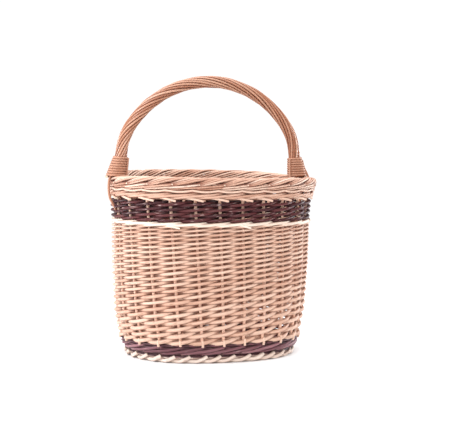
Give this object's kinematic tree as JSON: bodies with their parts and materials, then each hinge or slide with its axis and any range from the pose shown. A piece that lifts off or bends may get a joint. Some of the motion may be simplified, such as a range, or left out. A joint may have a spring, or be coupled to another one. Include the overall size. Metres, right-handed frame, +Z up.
{
  "type": "wicker basket",
  "caption": "Open oval wicker basket with tapered woven sides, a dark woven band below the rim and a fixed roped bow handle across its length.",
  "frame": {"origin": "middle of the oval foot, on the floor", "axes": "+Z up; +X along the oval, towards one foot of the handle; +Y across the oval"},
  "size_m": [0.43, 0.3092, 0.5451],
  "materials": {
    "natural_willow": "buff willow, peeled, satin with pale scuffs and brown gaps",
    "pale_willow": "white willow, peeled, satin",
    "dark_willow": "stained dark brown willow, semi-gloss",
    "base_willow": "buff willow, satin",
    "stake_willow": "buff willow, satin",
    "handle_willow": "buff willow, darker, satin",
    "binding_willow": "thin buff willow rods, orange brown, satin"
  },
  "bodies": {
    "root": {"base_cross_stick_1": "base_willow", "base_cross_stick_2": "base_willow", "base_cross_stick_3": "base_willow", "base_cross_stick_4": "base_willow", "base_cross_stick_5": "base_willow", "base_long_stick_1": "base_willow", "base_long_stick_2": "base_willow", "base_long_stick_3": "base_willow", "base_wale": "dark_willow", "base_weave": "base_willow", "border": "natural_willow", "cream_wale": "pale_willow", "dark_band": "dark_willow", "foot_border": "natural_willow", "handle_bow": "handle_willow", "handle_lapping_left": "binding_willow", "handle_lapping_right": "binding_willow", "handle_leg_rod_left": "handle_willow", "handle_leg_rod_right": "handle_willow", "handle_roping_1": "handle_willow", "handle_roping_2": "handle_willow", "handle_roping_3": "handle_willow", "handle_roping_4": "handle_willow", "siding": "natural_willow", "stake_01": "stake_willow", "stake_02": "stake_willow", "stake_03": "stake_willow", "stake_04": "stake_willow", "stake_05": "stake_willow", "stake_06": "stake_willow", "stake_07": "stake_willow", "stake_08": "stake_willow", "stake_09": "stake_willow", "stake_10": "stake_willow", "stake_11": "stake_willow", "stake_12": "stake_willow", "stake_13": "stake_willow", "stake_14": "stake_willow", "stake_15": "stake_willow", "stake_16": "stake_willow", "stake_17": "stake_willow", "stake_18": "stake_willow", "stake_19": "stake_willow", "stake_20": "stake_willow", "stake_21": "stake_willow", "stake_22": "stake_willow", "stake_23": "stake_willow", "stake_24": "stake_willow", "top_wale": "natural_willow"}
  },
  "joints": []
}
